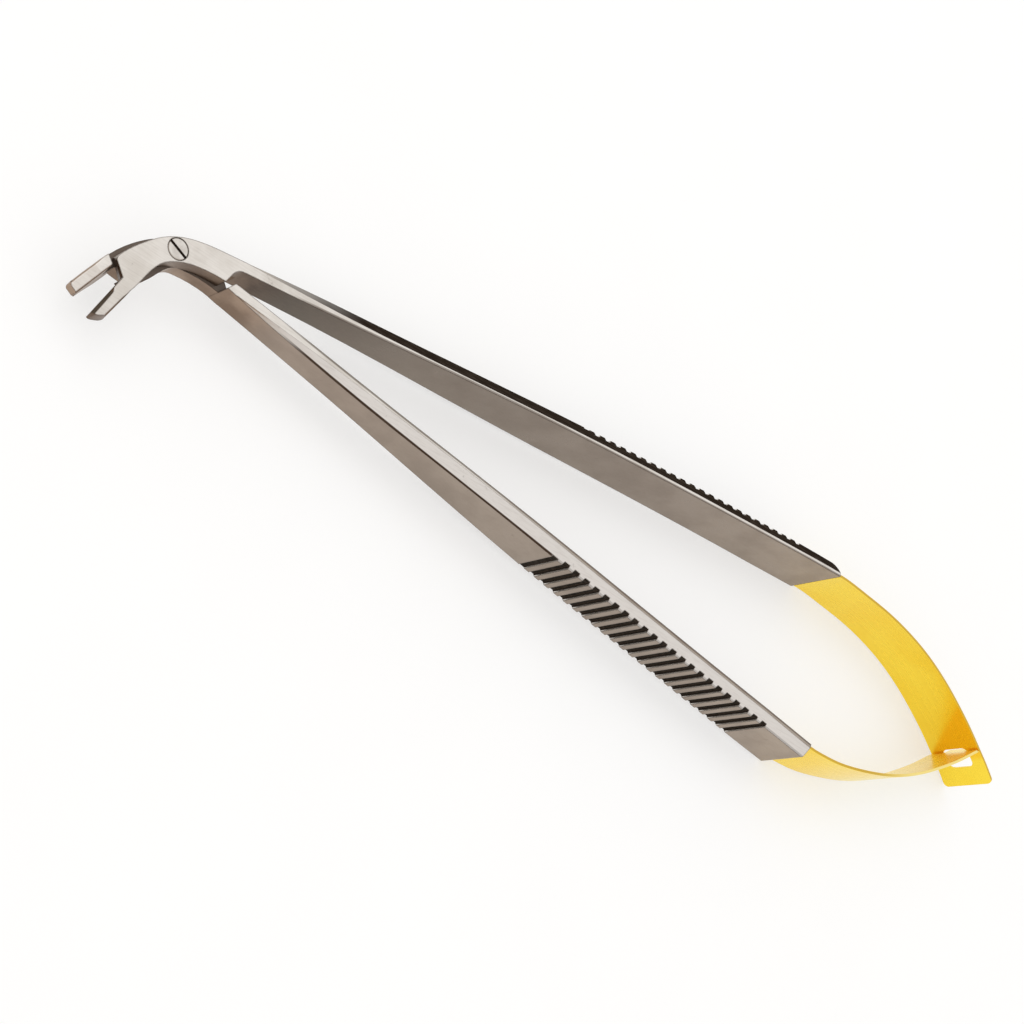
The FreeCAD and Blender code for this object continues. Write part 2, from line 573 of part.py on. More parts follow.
def leaf_profile(sk, bs, round_end):
    """Closed outline of constant thickness about the line bs: the root end is
    a half circle about the root point, the other end square or half round."""
    h = LT / 2.0
    left, t0, t1 = offsets(bs, h)
    right, _, _ = offsets(bs, -h)
    p0, p1 = bs.value(bs.FirstParameter), bs.value(bs.LastParameter)
    ids = []
    a = Part.BSplineCurve()
    a.interpolate([V(x, y, 0) for x, y in left])
    ids.append(sk.addGeometry(a, False))
    if round_end:
        ids.append(sk.addGeometry(Part.Arc(V(left[-1][0], left[-1][1], 0), p1 + t1 * h, V(right[-1][0], right[-1][1], 0)), False))
    else:
        ids.append(sk.addGeometry(Part.LineSegment(V(left[-1][0], left[-1][1], 0), V(right[-1][0], right[-1][1], 0)), False))
    b = Part.BSplineCurve()
    b.interpolate([V(x, y, 0) for x, y in reversed(right)])
    ids.append(sk.addGeometry(b, False))
    ids.append(sk.addGeometry(Part.Arc(V(right[0][0], right[0][1], 0), p0 - t0 * h, V(left[0][0], left[0][1], 0)), False))
    return ids


up_leaf = new_body("upper_leaf")
UT, LTD = upper_inner, lower_inner
up_dir = (1.0, 0.075)
up_curve = ribbon(UP_LINE, up_dir, (0.745, -0.667))
sk = new_sketch(up_leaf, "upper_leaf_profile")
leaf_profile(sk, up_curve, False)
pad(up_leaf, sk, "upper_leaf_strip", "Dims.leaf_wide")
doc.recompute()


def tail_corner(e):
    m = mid(e)
    d = e.tangentAt(e.FirstParameter)
    return abs(e.Length - LT) < 0.02 and m.x > 155 and abs(d.z) < 0.1


f = try_round(up_leaf, "upper_leaf_corners", "Fillet", "Dims.leaf_corner", tail_corner)

# window: drawn square to the leaf just past the crossing, ends well rounded
wdir = V(0.785, -0.619, 0)
wdir.normalize()
wn = V(0.619, 0.785, 0)
wn.normalize()
s0, s1 = -0.70, D["window_long"] - 0.70
centre = V(CROSS[0], CROSS[1], 0) + wdir * ((s0 + s1) / 2.0)
rot = FreeCAD.Rotation(wdir, V(0, 0, 1), wn, "XYZ")
base = FreeCAD.Rotation(V(1, 0, 0), V(0, 0, 1), V(0, -1, 0), "XYZ")
inv = FreeCAD.Placement(V(0, 0, 0), base).inverse()
sk = new_sketch(up_leaf, "window_outline", "XZ_Plane", inv.multiply(FreeCAD.Placement(centre, rot)))
hw, hl, cr = D["window_wide"] / 2.0, (s1 - s0) / 2.0, 0.95
k = cr * (1 - math.sqrt(0.5))
ids = []


def arc3(a, b, c):
    return sk.addGeometry(Part.Arc(V(a[0], a[1], 0), V(b[0], b[1], 0), V(c[0], c[1], 0)), False)


def seg(a, b):
    return sk.addGeometry(Part.LineSegment(V(a[0], a[1], 0), V(b[0], b[1], 0)), False)


seg((-hl + cr, -hw), (hl - cr, -hw))
arc3((hl - cr, -hw), (hl - k, -hw + k), (hl, -hw + cr))
seg((hl, -hw + cr), (hl, hw - cr))
arc3((hl, hw - cr), (hl - k, hw - k), (hl - cr, hw))
seg((hl - cr, hw), (-hl + cr, hw))
arc3((-hl + cr, hw), (-hl + k, hw - k), (-hl, hw - cr))
seg((-hl, hw - cr), (-hl, -hw + cr))
arc3((-hl, -hw + cr), (-hl + k, -hw + k), (-hl + cr, -hw))
cut(up_leaf, sk, "window", 3.0)

low_leaf = new_body("lower_leaf")
low_end_dir = V(0.792, 0.610, 0)
low_end_dir.normalize()
# the full-width part stops just short of the upper leaf, with its upper edge
# bevelled for the flatter crossing when the handles are closed; the tongue
# goes on through the window
cross = V(CROSS[0], CROSS[1], 0)
low_n = V(-low_end_dir.y, low_end_dir.x, 0)
h, hk = LT / 2.0, LT / 2.0 + 0.06


def end_at(b):
    """How far before the crossing the end lies, at offset b from mid-leaf."""
    return max((hk + b * math.cos(a)) / math.sin(a) for a in (math.radians(45.0), math.radians(76.6)))


knee = -0.169
stop = cross - low_end_dir * 0.85
low_pts = LOW_LINE + [(stop.x, stop.y)]
low_curve = ribbon(low_pts, (1.0, -0.123), (low_end_dir.x, low_end_dir.y))
sk = new_sketch(low_leaf, "lower_leaf_profile")
lefts, lt0, lt1 = offsets(low_curve, h)
rights, _, _ = offsets(low_curve, -h)
a = Part.BSplineCurve()
a.interpolate([V(x, y, 0) for x, y in lefts])
b = Part.BSplineCurve()
b.interpolate([V(x, y, 0) for x, y in reversed(rights)])
sk.addGeometry(a, False)
e1 = cross - low_end_dir * end_at(h) + low_n * h
e2 = cross - low_end_dir * end_at(knee) + low_n * knee
e3 = cross - low_end_dir * end_at(-h) - low_n * h
for g0, g1 in ((V(lefts[-1][0], lefts[-1][1], 0), e1), (e1, e2), (e2, e3), (e3, V(rights[-1][0], rights[-1][1], 0))):
    sk.addGeometry(Part.LineSegment(g0, g1), False)
sk.addGeometry(b, False)
sk.addGeometry(Part.Arc(V(rights[0][0], rights[0][1], 0), low_curve.value(low_curve.FirstParameter) - lt0 * h,
                        V(lefts[0][0], lefts[0][1], 0)), False)
pad(low_leaf, sk, "lower_leaf_strip", "Dims.leaf_wide")
sk = new_sketch(low_leaf, "tongue_profile")
nx, ny = -low_end_dir.y * LT / 2, low_end_dir.x * LT / 2
p = stop - low_end_dir * 0.5
q = cross + low_end_dir * 1.15
polygon(sk, [(p.x - nx, p.y - ny), (q.x - nx, q.y - ny), (q.x + nx, q.y + ny), (p.x + nx, p.y + ny)])
pad(low_leaf, sk, "tongue", "Dims.tongue_wide")
doc.recompute()


for body in (front, rear, screw, up_leaf, low_leaf):
    body.Placement = FreeCAD.Placement(V(D["origin_x"], D["origin_y"], D["arm_wide_end"] / 2.0), FreeCAD.Rotation())
    body.setExpression("Placement.Base.x", "Dims.origin_x")
    body.setExpression("Placement.Base.y", "Dims.origin_y")
    body.setExpression("Placement.Base.z", "Dims.arm_wide_end / 2")
doc.recompute()

# ------------------------------------------------------------ test and write
bad = []
for obj in doc.Objects:
    if "Invalid" in obj.State or "Error" in obj.State:
        bad.append("%s %s" % (obj.Name, obj.State))
os.makedirs("parts", exist_ok=True)
NODES = [front, rear, screw, up_leaf, low_leaf]
for body in NODES:
    s = body.Shape
    if s.isNull() or not s.isValid() or len(s.Solids) != 1:
        bad.append("%s shape null/invalid/%d solids" % (body.Label, 0 if s.isNull() else len(s.Solids)))
if bad:
    raise RuntimeError("; ".join(bad))
box = FreeCAD.BoundBox()
for body in NODES:
    body.Shape.exportStep("parts/%s.step" % body.Label)
    box.add(body.Shape.BoundBox)
    b = body.Shape.BoundBox
    print("%-12s vol %9.3f  x %.2f..%.2f y %.2f..%.2f z %.2f..%.2f" % (
        body.Label, body.Shape.Volume, b.XMin, b.XMax, b.YMin, b.YMax, b.ZMin, b.ZMax))
print("whole  x %.3f..%.3f  y %.3f..%.3f  z %.3f..%.3f" % (box.XMin, box.XMax, box.YMin, box.YMax, box.ZMin, box.ZMax))
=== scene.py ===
import math

import bmesh
import bpy
from mathutils import Matrix, Vector


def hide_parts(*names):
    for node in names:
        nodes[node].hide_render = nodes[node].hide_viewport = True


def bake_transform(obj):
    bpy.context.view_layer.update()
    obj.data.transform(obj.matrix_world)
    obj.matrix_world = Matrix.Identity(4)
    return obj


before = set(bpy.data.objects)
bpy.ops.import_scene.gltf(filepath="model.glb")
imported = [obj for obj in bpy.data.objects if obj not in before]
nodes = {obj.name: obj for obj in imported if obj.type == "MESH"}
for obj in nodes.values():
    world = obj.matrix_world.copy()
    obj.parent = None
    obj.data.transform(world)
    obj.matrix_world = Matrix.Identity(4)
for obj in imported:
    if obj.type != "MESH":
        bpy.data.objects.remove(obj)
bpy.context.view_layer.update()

MM = 0.001

# ------------------------------------------------------------------ camera
RIGHT = Vector((0.71076989, 0.22922976, 0.66502623))
DOWN = Vector((0.44440005, -0.87917652, -0.17192217))
AHEAD = Vector((0.54526577, 0.41773479, -0.72676192))
EYE = Vector((-0.146721, -0.103143, 0.176687))
cam_data = bpy.data.cameras.new("camera")
cam_data.lens = 65.39
cam_data.sensor_width = 36.0
cam_data.clip_start, cam_data.clip_end = 0.005, 20.0
cam = bpy.data.objects.new("camera", cam_data)
bpy.context.scene.collection.objects.link(cam)
turn = Matrix((RIGHT, -DOWN, -AHEAD)).transposed().to_4x4()
cam.matrix_world = Matrix.Translation(EYE) @ turn
bpy.context.scene.camera = cam


# ------------------------------------------------------- node-tree helpers
class Tree:
    """Short names for building a material's nodes."""

    def __init__(self, name):
        self.mat = bpy.data.materials.new(name)
        self.mat.use_nodes = True
        self.t = self.mat.node_tree
        self.t.nodes.clear()
        self.out = self.t.nodes.new("ShaderNodeOutputMaterial")
        self.bsdf = self.t.nodes.new("ShaderNodeBsdfPrincipled")
        self.t.links.new(self.bsdf.outputs[0], self.out.inputs["Surface"])
        self.coord = self.t.nodes.new("ShaderNodeTexCoord")

    def put(self, socket, value):
        if isinstance(value, bpy.types.NodeSocket):
            self.t.links.new(value, socket)
        elif isinstance(value, (tuple, list)) and len(value) == 3 and socket.type == "RGBA":
            socket.default_value = (*value, 1.0)
        else:
            socket.default_value = value

    def set(self, name, value):
        self.put(self.bsdf.inputs[name], value)

    def math(self, op, a, b=0.0, clamp=False):
        n = self.t.nodes.new("ShaderNodeMath")
        n.operation = op
        n.use_clamp = clamp
        self.put(n.inputs[0], a)
        if len(n.inputs) > 1:
            self.put(n.inputs[1], b)
        return n.outputs[0]

    def ramp(self, value, lo, hi, a=0.0, b=1.0, smooth=True):
        n = self.t.nodes.new("ShaderNodeMapRange")
        n.interpolation_type = "SMOOTHSTEP" if smooth else "LINEAR"
        self.put(n.inputs["Value"], value)
        n.inputs["From Min"].default_value = lo
        n.inputs["From Max"].default_value = hi
        n.inputs["To Min"].default_value = a
        n.inputs["To Max"].default_value = b
        return n.outputs["Result"]

    def mix(self, factor, a, b, mode="MIX"):
        n = self.t.nodes.new("ShaderNodeMix")
        n.data_type = "RGBA"
        n.blend_type = mode
        self.put(n.inputs[0], factor)
        self.put(n.inputs[6], a)
        self.put(n.inputs[7], b)
        return n.outputs[2]

    def split(self, vector):
        n = self.t.nodes.new("ShaderNodeSeparateXYZ")
        self.put(n.inputs[0], vector)
        return n.outputs[0], n.outputs[1], n.outputs[2]

    def scale(self, vector, s, turn_z=0.0):
        n = self.t.nodes.new("ShaderNodeMapping")
        self.put(n.inputs["Vector"], vector)
        n.inputs["Scale"].default_value = s
        n.inputs["Rotation"].default_value = (0.0, 0.0, turn_z)
        return n.outputs[0]

    def noise(self, vector, scale, detail=3.0, rough=0.5):
        n = self.t.nodes.new("ShaderNodeTexNoise")
        self.put(n.inputs["Vector"], vector)
        n.inputs["Scale"].default_value = scale
        n.inputs["Detail"].default_value = detail
        n.inputs["Roughness"].default_value = rough
        return n.outputs["Fac"]

    def bump(self, height, strength, distance, normal=None):
        n = self.t.nodes.new("ShaderNodeBump")
        self.put(n.inputs["Height"], height)
        n.inputs["Strength"].default_value = strength
        n.inputs["Distance"].default_value = distance
        if normal is not None:
            self.put(n.inputs["Normal"], normal)
        return n.outputs[0]

    def edge(self, radius):
        n = self.t.nodes.new("ShaderNodeBevel")
        n.samples = 6
        n.inputs["Radius"].default_value = radius
        return n.outputs[0]


# --------------------------------------------------------------- materials
PIVOT_X, PIVOT_Y, PIVOT_Z = -0.07331, 0.00047, 0.00468


def steel(name, side, bow, arris, lean):
    """Satin ground steel.  Side faces are bright and finely brushed along
    the length; wide faces are painted browner and darker, a painted shade
    and reflection.  Painted shade darkens the grooves, the faces between
    the plates and the edges.  side is +1 for the lever with
    the upper handle; bow is that of its grip's outer face,
    arris that of its inner one."""
    m = Tree(name)
    obj = m.coord.outputs["Object"]
    nx, ny, nz = m.split(m.coord.outputs["Normal"])
    px, py, pz = m.split(obj)
    flat = m.math("ABSOLUTE", nz)
    out = m.math("MULTIPLY", ny, float(side))            # +1 on the outer face
    # fine marks along the length, and broad uneven polish
    streak = m.noise(m.scale(obj, (240.0, 5200.0, 5200.0), -lean), 1.0, 3.0, 0.6)
    fine = m.noise(m.scale(obj, (900.0, 15000.0, 15000.0), -lean), 1.0, 2.0, 0.6)
    cloud = m.noise(obj, 150.0, 4.0, 0.55)
    spots = m.noise(obj, 800.0, 3.0, 0.6)
    smear = m.ramp(cloud, 0.40, 0.68)
    fleck = m.ramp(spots, 0.67, 0.76)
    along = m.ramp(px, -0.075, 0.045, 0.0, 1.0, smooth=False)
    # side faces
    light = m.mix(smear, (0.79, 0.755, 0.715), (0.66, 0.62, 0.575))
    # painted shade: on the lower lever the side face turns a darker brown from 35 mm past the pivot, fully by 70 mm
    if side < 0:
        light = m.mix(m.ramp(px, PIVOT_X + 0.035, PIVOT_X + 0.070), light,
                      m.mix(smear, (0.42, 0.365, 0.315), (0.34, 0.29, 0.25)))
    # inner wide face: painted shade and reflection, dark and olive near the head, paler to the spring end
    shade = m.t.nodes.new("ShaderNodeValToRGB")
    m.put(shade.inputs[0], along)
    e = shade.color_ramp.elements
    if side > 0:
        stops = [(0.10, (0.055, 0.042, 0.028)), (0.17, (0.13, 0.105, 0.08)), (0.30, (0.24, 0.195, 0.155)),
                 (0.70, (0.31, 0.25, 0.20)), (1.0, (0.38, 0.305, 0.235))]
    else:
        stops = [(0.0, (0.27, 0.20, 0.15)), (0.15, (0.36, 0.285, 0.23)), (0.40, (0.36, 0.295, 0.24)),
                 (0.70, (0.37, 0.305, 0.25)), (1.0, (0.40, 0.325, 0.26))]
    e[0].position, e[0].color = stops[0][0], (*stops[0][1], 1.0)
    e[1].position, e[1].color = stops[-1][0], (*stops[-1][1], 1.0)
    for at, colour in stops[1:-1]:
        k = e.new(at)
        k.color = (*colour, 1.0)
    wide_face_shade = m.mix(m.ramp(cloud, 0.38, 0.70, 0.0, 0.35), shade.outputs[0], (0.22, 0.175, 0.14))
    # outer bevel: painted reflection, a bright highlight on one lever and nearly black on the other
    bevel = m.math("MULTIPLY", m.ramp(out, 0.30, 0.45), m.ramp(out, 0.97, 0.90))
    bevel = m.math("MULTIPLY", bevel, m.ramp(px, PIVOT_X + 0.010, PIVOT_X + 0.022))
    bevel_reflection_colour = (0.020, 0.014, 0.010) if side > 0 else (0.72, 0.685, 0.655)
    head = m.ramp(px, PIVOT_X + 0.016, PIVOT_X + 0.010)
    # painted light and shade: near the head, wide faces turned towards +y are painted lighter, those turned towards
    # -y darker
    if side < 0:
        wide_face_shade = m.mix(m.math("MULTIPLY", head, m.ramp(ny, 0.0, 0.3)), wide_face_shade, m.mix(smear, (0.56, 0.50, 0.44), (0.36, 0.30, 0.25)))
        wide_face_shade = m.mix(m.math("MULTIPLY", head, m.ramp(ny, 0.0, -0.3)), wide_face_shade, m.mix(smear, (0.36, 0.26, 0.19), (0.22, 0.15, 0.105)))
    else:
        wide_face_shade = m.mix(m.math("MULTIPLY", head, m.ramp(ny, 0.0, -0.3)), wide_face_shade, m.mix(smear, (0.20, 0.135, 0.09), (0.10, 0.065, 0.045)))
        wide_face_shade = m.mix(m.math("MULTIPLY", head, m.ramp(ny, 0.0, 0.3)), wide_face_shade, (0.42, 0.37, 0.32))
    # wide faces take the painted shade; flat faces, turned along z, keep the side-face steel
    colour = m.mix(m.ramp(flat, 0.84, 0.97), wide_face_shade, light)
    colour = m.mix(bevel, colour, bevel_reflection_colour)
    # painted shade on groove floors and walls
    a0, a1, a2 = bow
    rel = m.math("SUBTRACT", px, PIVOT_X)
    face = m.math("ADD", m.math("MULTIPLY", m.math("ADD", m.math("MULTIPLY", rel, a2), a1), rel), a0)
    depth = m.math("MULTIPLY", m.math("SUBTRACT", face, py), float(side))      # below the outer face
    span = m.math("MULTIPLY", m.ramp(px, PIVOT_X + 0.0520, PIVOT_X + 0.0525), m.ramp(px, PIVOT_X + 0.1105, PIVOT_X + 0.1100))
    low = m.math("MULTIPLY", m.ramp(depth, 0.00015, 0.00023), m.ramp(depth, 0.00090, 0.00080))
    first = m.math("MULTIPLY", m.ramp(px, PIVOT_X + 0.0626, PIVOT_X + 0.0624), m.ramp(depth, 0.00009, 0.00014))
    low = m.math("MAXIMUM", low, m.math("MULTIPLY", first, m.ramp(depth, 0.00090, 0.00080)))     # shallow starting groove
    # painted highlight: the groove walls just below the outer face are painted bright
    groove_lip_highlight = m.math("MULTIPLY", m.math("MULTIPLY", m.ramp(m.math("ABSOLUTE", nx), 0.45, 0.60), m.ramp(flat, 0.32, 0.22)),
                    m.math("MULTIPLY", m.ramp(depth, -0.00010, 0.0), m.ramp(depth, 0.00018, 0.00014)))
    colour = m.mix(m.math("MULTIPLY", groove_lip_highlight, span), colour, (0.84, 0.80, 0.75))
    groove_shade = m.math("MULTIPLY", m.math("MULTIPLY", low, m.ramp(flat, 0.32, 0.22)), span)
    colour = m.mix(m.math("MULTIPLY", groove_shade, 0.97), colour, (0.012, 0.010, 0.008))
    # painted shade on the faces where the two plates overlap at the joint, in the pocket between them
    lap_shade = m.math("MULTIPLY", m.ramp(flat, 0.90, 0.97),
                 m.ramp(m.math("ABSOLUTE", m.math("SUBTRACT", pz, PIVOT_Z)), 0.00030, 0.00015))
    colour = m.mix(m.math("MULTIPLY", lap_shade, 0.9), colour, (0.09, 0.06, 0.042))
    # painted shade: thin dark lines, outer face to bevel, and the inner arris of the side face
    arm = m.ramp(px, PIVOT_X + 0.014, PIVOT_X + 0.020)
    if side < 0:
        near = m.math("MULTIPLY", m.math("MULTIPLY", m.ramp(flat, 0.25, 0.35), m.ramp(flat, 0.96, 0.92)),
                      m.math("MULTIPLY", m.ramp(depth, 0.00030, 0.00020), arm))
        near = m.math("MULTIPLY", near, m.ramp(px, PIVOT_X + 0.0618, PIVOT_X + 0.0608, 0.35, 1.0))
        colour = m.mix(near, colour, (0.050, 0.030, 0.020))
    b0, b1, b2 = arris
    inside = m.math("ADD", m.math("MULTIPLY", m.math("ADD", m.math("MULTIPLY", rel, b2), b1), rel), b0)
    gap = m.math("ABSOLUTE", m.math("SUBTRACT", py, inside))
    near = m.math("MULTIPLY", m.math("MULTIPLY", m.ramp(flat, 0.90, 0.95), m.ramp(gap, 0.00032, 0.00020)), arm)
    colour = m.mix(m.math("MULTIPLY", near, 0.70), colour, (0.11, 0.075, 0.052))
    # painted shade: dark lines on the other edges; streaks and flecks
    rounded = m.edge(0.00020)
    geo = m.t.nodes.new("ShaderNodeNewGeometry")
    dot = m.t.nodes.new("ShaderNodeVectorMath")
    dot.operation = "DOT_PRODUCT"
    m.put(dot.inputs[0], rounded)
    m.put(dot.inputs[1], geo.outputs["Normal"])
    line = m.ramp(dot.outputs["Value"], 0.995, 0.94, 0.0, 0.80)
    colour = m.mix(line, colour, (0.060, 0.040, 0.028))
    colour = m.mix(m.ramp(streak, 0.40, 0.78, 0.0, 0.16), colour, (0.24, 0.19, 0.15))
    colour = m.mix(m.math("MULTIPLY", fleck, 0.22), colour, (0.10, 0.075, 0.055))
    # the painted dark marks (groove shade, shade between the plates, and on the upper lever the bevel's dark
    # reflection) are also made non-metallic
    dull = m.math("MAXIMUM", groove_shade, m.math("MULTIPLY", lap_shade, 0.7))
    if side > 0:
        dull = m.math("MAXIMUM", dull, bevel)
    m.set("Base Color", colour)
    m.set("Metallic", m.math("SUBTRACT", 1.0, dull))
    m.set("Specular IOR Level", m.ramp(dull, 0.0, 1.0, 0.5, 0.0, smooth=False))
    rough = m.ramp(cloud, 0.3, 0.7, 0.30, 0.40)
    rough = m.math("ADD", rough, m.ramp(fine, 0.3, 0.7, -0.04, 0.05))
    rough = m.math("ADD", rough, m.math("MULTIPLY", groove_shade, 0.25))
    m.set("Roughness", rough)
    height = m.math("ADD", m.math("MULTIPLY", streak, 0.6), m.math("MULTIPLY", fine, 0.4))
    m.set("Normal", m.bump(height, 0.05, 0.00002, m.edge(0.00014)))
    return m.mat


# outer faces in the grip zone as y = a0 + a1 x + a2 x^2 from the pivot, in m
upper_steel = steel("steel_upper", 1, (PIVOT_Y + 0.002025, 0.15419, -0.3726),
                    (PIVOT_Y + 0.001094, 0.12623, -0.2116), math.radians(5.5))
lower_steel = steel("steel_lower", -1, (PIVOT_Y + 0.000269, -0.16240, 0.1873),
                    (PIVOT_Y + 0.001760, -0.14861, 0.1105), math.radians(-7.5))


def screw_steel():
    """Turned screw head: concentric tool marks about the head's centre."""
    m = Tree("steel_screw")
    obj = m.coord.outputs["Object"]
    px, py, pz = m.split(obj)
    dx = m.math("SUBTRACT", px, PIVOT_X)
    dy = m.math("SUBTRACT", py, PIVOT_Y)
    r = m.math("SQRT", m.math("ADD", m.math("MULTIPLY", dx, dx), m.math("MULTIPLY", dy, dy)))
    rings = m.math("SINE", m.math("MULTIPLY", r, 2 * math.pi / 0.00009))
    cloud = m.noise(obj, 700.0, 3.0, 0.5)
    top = m.ramp(pz, PIVOT_Z + 0.00180, PIVOT_Z + 0.00195)
    colour = m.mix(m.ramp(cloud, 0.4, 0.7), (0.74, 0.71, 0.67), (0.58, 0.54, 0.50))
    # darker towards the edge of the head
    colour = m.mix(m.ramp(r, 0.00112, 0.00128), colour, (0.30, 0.25, 0.21))
    # painted shade: below the head's top face, in the slot and on the head's sides, the screw is painted dark
    colour = m.mix(top, (0.10, 0.08, 0.065), colour)
    m.set("Base Color", colour)
    m.set("Metallic", 1.0)
    m.set("Roughness", m.ramp(cloud, 0.3, 0.7, 0.28, 0.38))
    m.set("Normal", m.bump(rings, 0.06, 0.00001, m.edge(0.00010)))
    return m.mat


def gold(name, pale):
    """Gilt spring leaf: polished, with faint lengthways rolling lines."""
    m = Tree(name)
    obj = m.coord.outputs["Object"]
    roll = m.noise(m.scale(obj, (60.0, 60.0, 1800.0)), 1.0, 2.0, 0.5)
    cloud = m.noise(obj, 120.0, 3.0, 0.5)
    nx, ny, nz = m.split(m.coord.outputs["Normal"])
    colour = m.mix(m.ramp(cloud, 0.35, 0.7), (0.97, 0.72, 0.060), (0.95, 0.67, 0.045))
    colour = m.mix(m.ramp(roll, 0.4, 0.8, 0.0, 0.06), colour, (0.86, 0.50, 0.03))
    px, py, pz = m.split(obj)
    edge_shade = m.math("MULTIPLY", m.ramp(m.math("ABSOLUTE", nz), 0.80, 0.95), 0.75)      # painted shade on the edge faces
    if pale:                                              # painted reflection: past the bend the leaf is painted pale, most on faces turned towards -y
        facing_reflection = m.ramp(ny, -0.2, 0.2, 1.0, 0.5)
        colour = m.mix(m.math("MULTIPLY", m.ramp(px, 0.050, 0.064, 0.0, 0.9), facing_reflection), colour, (0.975, 0.86, 0.40))
        edge_shade = m.math("MULTIPLY", edge_shade, m.ramp(px, 0.064, 0.054, 0.12, 1.0))
    else:                                                 # painted reflection: dark amber before the crossing, on faces turned towards -y
        rest = m.math("SUBTRACT", px, m.math("MULTIPLY", m.math("SUBTRACT", 0.00908, pz), 0.761))
        amber_reflection = m.math("MULTIPLY", m.ramp(rest, 0.0708, 0.0721), m.ramp(px, 0.0797, 0.0788))
        amber_reflection = m.math("MULTIPLY", amber_reflection, m.ramp(ny, 0.0, -0.2, 0.0, 0.6))
        colour = m.mix(amber_reflection, colour, (0.94, 0.50, 0.012))
    colour = m.mix(edge_shade, colour, (0.55, 0.33, 0.05))
    m.set("Base Color", colour)
    m.set("Metallic", 0.9)
    m.set("Roughness", m.ramp(roll, 0.3, 0.7, 0.26, 0.29))
    m.set("Normal", m.bump(roll, 0.004, 0.00001))
    return m.mat


gold_upper = gold("gold_upper", False)
gold_lower = gold("gold_lower", True)


def dress(node, mat):
    o = nodes[node]
    o.data.materials.clear()
    o.data.materials.append(mat)
    return o


dress("front_lever", upper_steel)
dress("rear_lever", lower_steel)
dress("pivot_screw", screw_steel())

# ------------------------------------------------------------ spring leaves
# Mid-lines of the two leaves seen from the front, in mm.
UP_MID = [
    (40.140, 13.450), (41.437, 13.503), (42.736, 13.488), (44.033, 13.430), (45.329, 13.348), (46.624, 13.261),
    (47.920, 13.180), (49.216, 13.096), (50.511, 12.999), (51.804, 12.878), (53.093, 12.724), (54.378, 12.537),
    (55.658, 12.318), (56.933, 12.070), (58.201, 11.792), (59.462, 11.481), (60.713, 11.134), (61.953, 10.746),
    (63.179, 10.319), (64.391, 9.852), (65.587, 9.348), (66.767, 8.806), (67.931, 8.230), (69.078, 7.622),
    (70.209, 6.984), (71.325, 6.320), (72.429, 5.636), (73.522, 4.934), (74.601, 4.213), (75.663, 3.465),
    (76.701, 2.685), (77.724, 1.885), (78.750, 1.090), (79.777, 0.295), (80.774, -0.536), (81.734, -1.411),
    (82.690, -2.290),
]
LOW_MID = [
    (40.130, -13.510), (41.269, -13.588), (42.412, -13.584), (43.554, -13.547), (44.695, -13.498), (45.835, -13.422),
    (46.971, -13.303), (48.102, -13.140), (49.227, -12.943), (50.348, -12.721), (51.464, -12.478), (52.577, -12.218),
    (53.686, -11.945), (54.791, -11.655), (55.891, -11.347), (56.985, -11.018), (58.071, -10.664), (59.149, -10.284),
    (60.215, -9.875), (61.271, -9.438), (62.314, -8.973), (63.345, -8.480), (64.364, -7.963), (65.371, -7.424),
    (66.368, -6.865), (67.354, -6.289), (68.331, -5.696), (69.299, -5.091), (70.262, -4.475), (71.218, -3.850),
    (72.167, -3.214), (73.108, -2.566), (74.036, -1.900), (74.947, -1.211), (75.846, -0.506), (76.744, 0.201),
    (77.647, 0.901),
]
CROSS = (78.320, 1.420)
LEAF_T, LEAF_W, MID_Z = 0.42, 8.80, 4.68
WINDOW_W, WINDOW_L, WINDOW_R = 4.60, 3.35, 0.95
TONGUE_W = 3.60


class Line:
    """Smooth line through evenly spaced points, by length."""

    def __init__(self, pts):
        self.p = [Vector((x, y)) for x, y in pts]
        self.s = [0.0]
        for a, b in zip(self.p, self.p[1:]):
            self.s.append(self.s[-1] + (b - a).length)
        self.length = self.s[-1]

    def tangent_at(self, i):
        a, b = max(i - 1, 0), min(i + 1, len(self.p) - 1)
        return (self.p[b] - self.p[a]).normalized()

    def at(self, s):
        """Point and unit direction at length s (straight on past the ends)."""
        if s <= 0:
            return self.p[0] + self.tangent_at(0) * s, self.tangent_at(0)
        if s >= self.length:
            return self.p[-1] + self.tangent_at(len(self.p) - 1) * (s - self.length), self.tangent_at(len(self.p) - 1)
        i = max(k for k in range(len(self.s) - 1) if self.s[k] <= s)
        h = self.s[i + 1] - self.s[i]
        t = (s - self.s[i]) / h
        m0, m1 = self.tangent_at(i) * h, self.tangent_at(i + 1) * h
        a, b = self.p[i], self.p[i + 1]
        p = (a * (2 * t ** 3 - 3 * t ** 2 + 1) + m0 * (t ** 3 - 2 * t ** 2 + t) + b * (3 * t ** 2 - 2 * t ** 3)
             + m1 * (t ** 3 - t ** 2))
        d = self.tangent_at(i) * (1 - t) + self.tangent_at(i + 1) * t
        return p, d.normalized()

    def nearest(self, q):
        q = Vector(q)
        best = min(range(2001), key=lambda k: (self.at(self.length * k / 2000.0)[0] - q).length)
        return self.length * best / 2000.0


def even(a, b, n):
    return [a + (b - a) * i / n for i in range(n + 1)]


